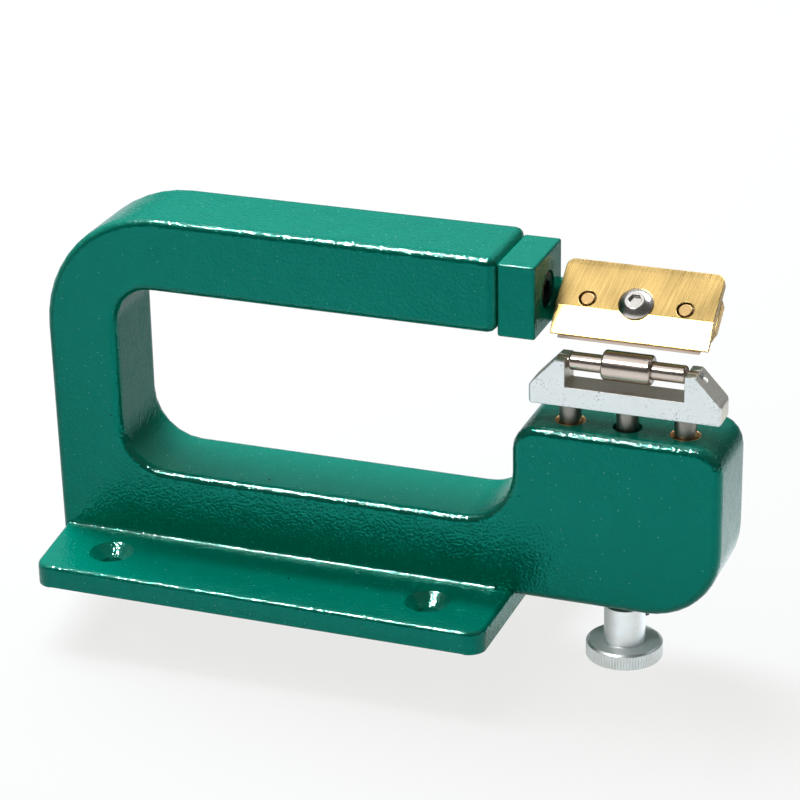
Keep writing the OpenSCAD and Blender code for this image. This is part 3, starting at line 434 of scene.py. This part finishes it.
def knurl_tree():
    """Geometry nodes that set straight ridges around a disc and join them to the turned body."""
    tree = bpy.data.node_groups.new("straight_knurl", "GeometryNodeTree")
    made = tree.interface
    made.new_socket("Body", in_out="INPUT", socket_type="NodeSocketGeometry")
    for name, kind in (("Count", "Int"), ("Core", "Float"), ("Ridge", "Float"), ("Width", "Float"),
                       ("Height", "Float"), ("Centre", "Vector"), ("Finish", "Material")):
        made.new_socket(name, in_out="INPUT", socket_type="NodeSocket" + kind)
    made.new_socket("Body", in_out="OUTPUT", socket_type="NodeSocketGeometry")
    given = add(tree, "NodeGroupInput").outputs
    ring = add(tree, "GeometryNodeMeshCircle", {"Vertices": given["Count"], "Radius": given["Core"]})
    place = add(tree, "GeometryNodeInputPosition").outputs[0]
    facing = add(tree, "FunctionNodeAlignRotationToVector", {"Vector": place}, axis="X")
    bar = add(tree, "GeometryNodeMeshCylinder", {"Vertices": 10, "Radius": 1.0, "Depth": 1.0})
    shape = add(tree, "ShaderNodeCombineXYZ", {"X": given["Ridge"], "Y": given["Width"], "Z": given["Height"]})
    ridges = add(tree, "GeometryNodeInstanceOnPoints", {
        "Points": ring.outputs["Mesh"], "Instance": bar.outputs["Mesh"], "Rotation": facing.outputs[0],
        "Scale": shape.outputs[0]})
    moved = add(tree, "GeometryNodeTransform", {"Geometry": ridges.outputs[0], "Translation": given["Centre"]})
    joined = add(tree, "GeometryNodeJoinGeometry")
    tree.links.new(given["Body"], joined.inputs[0])
    tree.links.new(moved.outputs[0], joined.inputs[0])
    real = add(tree, "GeometryNodeRealizeInstances", {"Geometry": joined.outputs[0]})
    painted = add(tree, "GeometryNodeSetMaterial", {"Geometry": real.outputs[0], "Material": given["Finish"]})
    add(tree, "NodeGroupOutput", {"Body": painted.outputs[0]})
    return tree


def set_inputs(modifier, values):
    """Sets a geometry nodes modifier's inputs, named as in its tree."""
    for item in modifier.node_group.interface.items_tree:
        if item.item_type == "SOCKET" and item.in_out == "INPUT" and item.name in values:
            modifier[item.identifier] = values[item.name]


# Operators


class SPLITTER_OT_casting(bpy.types.Operator):
    """Finishes the enamelled C-frame casting"""

    bl_idname = "splitter.casting"
    bl_label = "Casting"

    def execute(self, context):
        softened("frame_casting", sizes().cast_edge, segments=2, shortest=20 * MM, clamp=False)
        repaint("lift_nut", "head_clamp_screw", "head_washer")
        for node in ("guide_bush_left", "guide_bush_right"):
            softened(node, sizes().turned_edge, segments=2)
        return {"FINISHED"}


class SPLITTER_OT_head(bpy.types.Operator):
    """Finishes the enamelled head block on the arm's end"""

    bl_idname = "splitter.head"
    bl_label = "Head block"

    def execute(self, context):
        softened("head_block", sizes().head_edge, shortest=10 * MM, clamp=False)
        repaint("seat_screw_left", "seat_screw_right")
        return {"FINISHED"}


class SPLITTER_OT_blade_holder(bpy.types.Operator):
    """Finishes the brass plates, the blade and their screw and pins"""

    bl_idname = "splitter.blade_holder"
    bl_label = "Blade holder"

    def execute(self, context):
        edge = sizes().plate_edge
        softened("clamp_plate", edge, angle=5, clamp=False)
        softened("blade_seat", edge, shortest=3 * MM, clamp=False)
        softened("blade_clamp_screw", 0.5 * edge, segments=2)
        for node in ("locating_pin_left", "locating_pin_right"):
            softened(node, sizes().turned_edge)
        repaint("blade")
        return {"FINISHED"}


class SPLITTER_OT_carriage(bpy.types.Operator):
    """Finishes the roller, its bracket and the guide pins"""

    bl_idname = "splitter.carriage"
    bl_label = "Roller carriage"

    def execute(self, context):
        softened("roller_bracket", sizes().bracket_edge, clamp=False)
        softened("roller", 0.5 * sizes().turned_edge, segments=2)
        for node in ("roller_axle", "guide_pin_left", "guide_pin_right"):
            softened(node, sizes().turned_edge, segments=2)
        repaint("pin_screw_left", "pin_screw_right", "screw_retainer")
        return {"FINISHED"}


class SPLITTER_OT_knob(bpy.types.Operator):
    """Turns the knob with its straight knurl, and finishes the lifting screw and the grub screw"""

    bl_idname = "splitter.knob"
    bl_label = "Knob and screw"

    def execute(self, context):
        size = sizes()
        low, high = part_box("knob")
        axis = (low + high) / 2
        disc_r = (high.x - low.x) / 2
        hub_r, bore_r = size.hub_d / 2, size.bore_d / 2
        disc_top = low.z + size.disc_t
        core = disc_r - size.knurl_depth
        cut, fillet = size.disc_chamfer, size.hub_fillet
        hollow = [(hub_r + fillet * (1 - math.sin(a)), disc_top + fillet * (1 - math.cos(a)))
                  for a in [math.radians(15 * i) for i in range(7)]]
        low_cut, hub_cut = cut / 2, 0.4 * MM
        profile = [(bore_r, low.z), (core - low_cut, low.z), (core, low.z + low_cut), (core, disc_top - cut),
                   (core - cut, disc_top)] + hollow + [(hub_r, high.z - hub_cut), (hub_r - hub_cut, high.z),
                                                       (bore_r, high.z)]
        obj = bpy.data.objects.new("knob_finished", lathe("knob_finished", profile, axis))
        context.scene.collection.objects.link(obj)
        ridge_h = disc_top - low.z - cut - low_cut
        ridge_w = RIDGE_SHARE * 2 * math.pi * core / size.knurl_count
        knurl = obj.modifiers.new("knurl", "NODES")
        knurl.node_group = knurl_tree()
        set_inputs(knurl, {"Count": size.knurl_count, "Core": core, "Ridge": size.knurl_depth,
                           "Width": ridge_w, "Height": ridge_h,
                           "Centre": (axis.x, axis.y, low.z + low_cut + ridge_h / 2),
                           "Finish": finish_of("zinc_plate")})
        as_plain_mesh(obj, "knob_finished")
        obj.data.polygons.foreach_set("use_smooth", [True] * len(obj.data.polygons))
        obj.data.set_sharp_from_angle(angle=KNOB_SHARP)
        stand_for(obj, "knob")
        softened("lifting_screw", size.turned_edge, segments=2)
        repaint("knob_grub_screw")
        return {"FINISHED"}


class SPLITTER_OT_stage(bpy.types.Operator):
    """Sets the pale floor, the studio light and the camera"""

    bl_idname = "splitter.stage"
    bl_label = "Stage"

    def execute(self, context):
        scene = context.scene
        scene.view_settings.view_transform = "Standard"
        make_floor(scene)
        make_light(scene)
        make_camera(scene)
        return {"FINISHED"}


# Stage

LOOK_AT = Vector((38.15, -15.8, 63.75)) * MM
BLADE_AT = Vector((104, -10, 88)) * MM
CAMERA_AT = Vector((320.8, -754.6, 408.7)) * MM
CAMERA_ROLL = math.radians(-1.06)
CAMERA_LENS = 133.9
FLOOR_HALF = 6.0
FLOOR_LIT_SIDE = (0.66, -0.75, 0.0)
FLOOR_FADE = 0.12  # metres to either side of the line between the dim back and the lit front
FLOOR_PAPER = (0.25, 0.8)  # shares of its colour in reflections, at the back and at the front
FLOOR_SHEEN = (0.1, 0.58)  # glow in reflections, at the back and at the front
FLOOR_BOUNCE = 0.15  # share of its colour that it throws back as soft light
FLOOR_SHOWN = 0.88  # glow that the camera sees
ROOM_FRONT, ROOM_SHOWN = 0.1, 0.9  # light from the front, and what the camera sees
ROOM_BACK = (0.06, 0.3)  # light from the back, low down and higher up
COOL_WHITE = (0.92, 1.0, 1.12)
WARM_ROOM = (1.0, 0.975, 0.94, 1.0)
PLAIN_WHITE = (1.0, 1.0, 1.0, 1.0)
ENAMELLED = ("frame_casting", "head_block")


def make_floor(scene):
    """A wide pale floor just below the knob's lowest place. It shows nearly white and keeps its shadows, throws
    little light back up, and where gloss and metal mirror it, it carries painted shade behind the object and
    painted light in front."""
    z = CAD_BOX[0].z - sizes().floor_drop
    corners = [(x * FLOOR_HALF, y * FLOOR_HALF, z) for x, y in ((-1, -1), (1, -1), (1, 1), (-1, 1))]
    mesh = bpy.data.meshes.new("floor")
    mesh.from_pydata(corners, [], [(0, 1, 2, 3)])
    floor = bpy.data.objects.new("floor", mesh)
    scene.collection.objects.link(floor)
    material = bpy.data.materials.new("pale_floor")
    material.use_nodes = True
    tree = material.node_tree
    tree.nodes.clear()
    tone = colours().floor
    path = add(tree, "ShaderNodeLightPath").outputs
    place = add(tree, "ShaderNodeTexCoord").outputs["Object"]
    # painted shade behind the object and painted light in front, seen only where gloss and metal mirror the floor
    forward = add(tree, "ShaderNodeVectorMath", {0: place, 1: FLOOR_LIT_SIDE}, operation="DOT_PRODUCT")
    lit = add(tree, "ShaderNodeMapRange", {0: forward.outputs["Value"], 1: -FLOOR_FADE, 2: FLOOR_FADE},
              interpolation_type="SMOOTHSTEP")
    dim, bright = [shade(tone, share) for share in FLOOR_PAPER]
    paper = add(tree, "ShaderNodeMixRGB", {0: lit.outputs[0], 1: dim, 2: bright})
    sheet = add(tree, "ShaderNodeMixRGB", {0: path["Is Glossy Ray"], 1: shade(tone, FLOOR_BOUNCE),
                                           2: paper.outputs[0]})
    matt = add(tree, "ShaderNodeBsdfDiffuse", {"Color": sheet.outputs[0]})
    sheen = add(tree, "ShaderNodeMapRange", {0: lit.outputs[0], 3: FLOOR_SHEEN[0], 4: FLOOR_SHEEN[1]})
    mirrored = add(tree, "ShaderNodeMath", {0: path["Is Glossy Ray"], 1: sheen.outputs[0]}, operation="MULTIPLY")
    level = add(tree, "ShaderNodeMath", {0: path["Is Camera Ray"], 1: FLOOR_SHOWN, 2: mirrored.outputs[0]},
                operation="MULTIPLY_ADD")
    glow = add(tree, "ShaderNodeEmission", {"Color": opaque(tone), "Strength": level.outputs[0]})
    mixed = add(tree, "ShaderNodeAddShader", {0: matt.outputs[0], 1: glow.outputs[0]})
    add(tree, "ShaderNodeOutputMaterial", {"Surface": mixed.outputs[0]})
    mesh.materials.append(material)


def softbox(scene, name, aim, offset, width, height, power, tint=(1.0, 1.0, 1.0)):
    """A soft area lamp that stands off a point and faces it."""
    lamp = bpy.data.lights.new(name, "AREA")
    lamp.color = tint
    lamp.shape, lamp.size, lamp.size_y, lamp.energy = "RECTANGLE", width, height, power
    obj = bpy.data.objects.new(name, lamp)
    obj.location = aim + Vector(offset)
    obj.rotation_euler = (aim - obj.location).to_track_quat("-Z", "Y").to_euler()
    scene.collection.objects.link(obj)
    return obj


def make_light(scene):
    """A wide lamp overhead at the back left, its wider reflection in the bare metals, a dim lamp at the front left,
    a small key light, a slim bright lamp that only glints on the enamel, and a soft room."""
    overhead = (0.0, 0.0, 1.2)
    back_left, behind, front_left = [LOOK_AT + Vector(v) for v in ((-0.75, 0.5, 0), (0, 0.7, 0), (-0.62, -0.27, 0))]
    back = softbox(scene, "back_top", back_left, overhead, 1.2, 0.8, 38.0, tint=COOL_WHITE)
    back.visible_glossy = False
    sheen = softbox(scene, "back_sheen", behind, overhead, 2.2, 0.8, 40.0, tint=COOL_WHITE)
    softbox(scene, "front_top", front_left, overhead, 1.0, 1.06, 4.8)
    key = softbox(scene, "key_light", BLADE_AT, (-0.26, -0.63, 0.73), 0.16, 0.16, 3.6)
    rim = softbox(scene, "rim_light", LOOK_AT, (-0.4, -0.45, 1.04), 0.16, 0.07, 30.0)
    for lamp in (sheen, key, rim):
        lamp.visible_diffuse = False
    for lamp, state in ((rim, "INCLUDE"), (sheen, "EXCLUDE")):
        enamel = bpy.data.collections.new(lamp.name + "_enamel")
        for node in ENAMELLED:
            enamel.objects.link(bpy.data.objects[node + "_finished"])
        for member in enamel.collection_objects:
            member.light_linking.link_state = state
        lamp.light_linking.receiver_collection = enamel
    make_room(scene)


def make_room(scene):
    """A soft warm room, dark in front and low at the back, which shows white to the camera."""
    world = bpy.data.worlds.new("soft_room")
    scene.world = world
    world.use_nodes = True
    tree = world.node_tree
    tree.nodes.clear()
    towards = add(tree, "ShaderNodeTexCoord").outputs["Generated"]
    split = add(tree, "ShaderNodeSeparateXYZ", {0: towards})
    behind = add(tree, "ShaderNodeMapRange", {0: split.outputs["Y"], 1: -0.3, 2: 0.5},
                 interpolation_type="SMOOTHSTEP")
    backdrop = add(tree, "ShaderNodeMapRange", {0: split.outputs["Z"], 1: 0.2, 2: 0.42, 3: ROOM_BACK[0],
                                                4: ROOM_BACK[1]}, interpolation_type="SMOOTHSTEP")
    room = add(tree, "ShaderNodeMix", {0: behind.outputs[0], 2: ROOM_FRONT, 3: backdrop.outputs[0]})
    path = add(tree, "ShaderNodeLightPath").outputs
    seen = add(tree, "ShaderNodeMath", {0: path["Is Camera Ray"], 1: path["Is Transmission Ray"]},
               operation="MAXIMUM")
    level = add(tree, "ShaderNodeMix", {0: seen.outputs[0], 2: room.outputs[0], 3: ROOM_SHOWN})
    warmth = add(tree, "ShaderNodeMixRGB", {0: seen.outputs[0], 1: WARM_ROOM, 2: PLAIN_WHITE})
    shown = add(tree, "ShaderNodeBackground", {"Color": warmth.outputs[0], "Strength": level.outputs[0]})
    add(tree, "ShaderNodeOutputWorld", {"Surface": shown.outputs[0]})


def make_camera(scene):
    """The photograph's viewing point: slightly right of the front, looking down, with a small roll."""
    data = bpy.data.cameras.new("camera")
    data.sensor_width, data.lens = 36.0, CAMERA_LENS
    data.clip_start, data.clip_end = 0.01, 50
    camera = bpy.data.objects.new("camera", data)
    roll = Matrix.Rotation(CAMERA_ROLL, 4, "Z")
    turn = (LOOK_AT - CAMERA_AT).to_track_quat("-Z", "Y").to_matrix().to_4x4()
    camera.matrix_world = Matrix.Translation(CAMERA_AT) @ turn @ roll
    scene.collection.objects.link(camera)
    scene.camera = camera


# Panel and registration


class SPLITTER_PT_panel(bpy.types.Panel):
    """Lists the steps that build the splitter's looks"""

    bl_idname = "SPLITTER_PT_panel"
    bl_label = "Leather splitter"
    bl_space_type = "VIEW_3D"
    bl_region_type = "UI"
    bl_category = "Splitter"

    def draw(self, context):
        for step in STEPS:
            self.layout.operator(step.bl_idname)


STEPS = (SPLITTER_OT_casting, SPLITTER_OT_head, SPLITTER_OT_blade_holder, SPLITTER_OT_carriage,
         SPLITTER_OT_knob, SPLITTER_OT_stage)
CLASSES = (SplitterSizes, SplitterColours) + STEPS + (SPLITTER_PT_panel,)


def register():
    for cls in CLASSES:
        bpy.utils.register_class(cls)
    bpy.types.Scene.splitter_sizes = PointerProperty(type=SplitterSizes)
    bpy.types.Scene.splitter_colours = PointerProperty(type=SplitterColours)


def unregister():
    del bpy.types.Scene.splitter_colours
    del bpy.types.Scene.splitter_sizes
    for cls in reversed(CLASSES):
        bpy.utils.unregister_class(cls)


def main():
    register()
    bpy.ops.splitter.casting()
    bpy.ops.splitter.head()
    bpy.ops.splitter.blade_holder()
    bpy.ops.splitter.carriage()
    bpy.ops.splitter.knob()
    bpy.ops.splitter.stage()


if __name__ == "__main__":
    main()
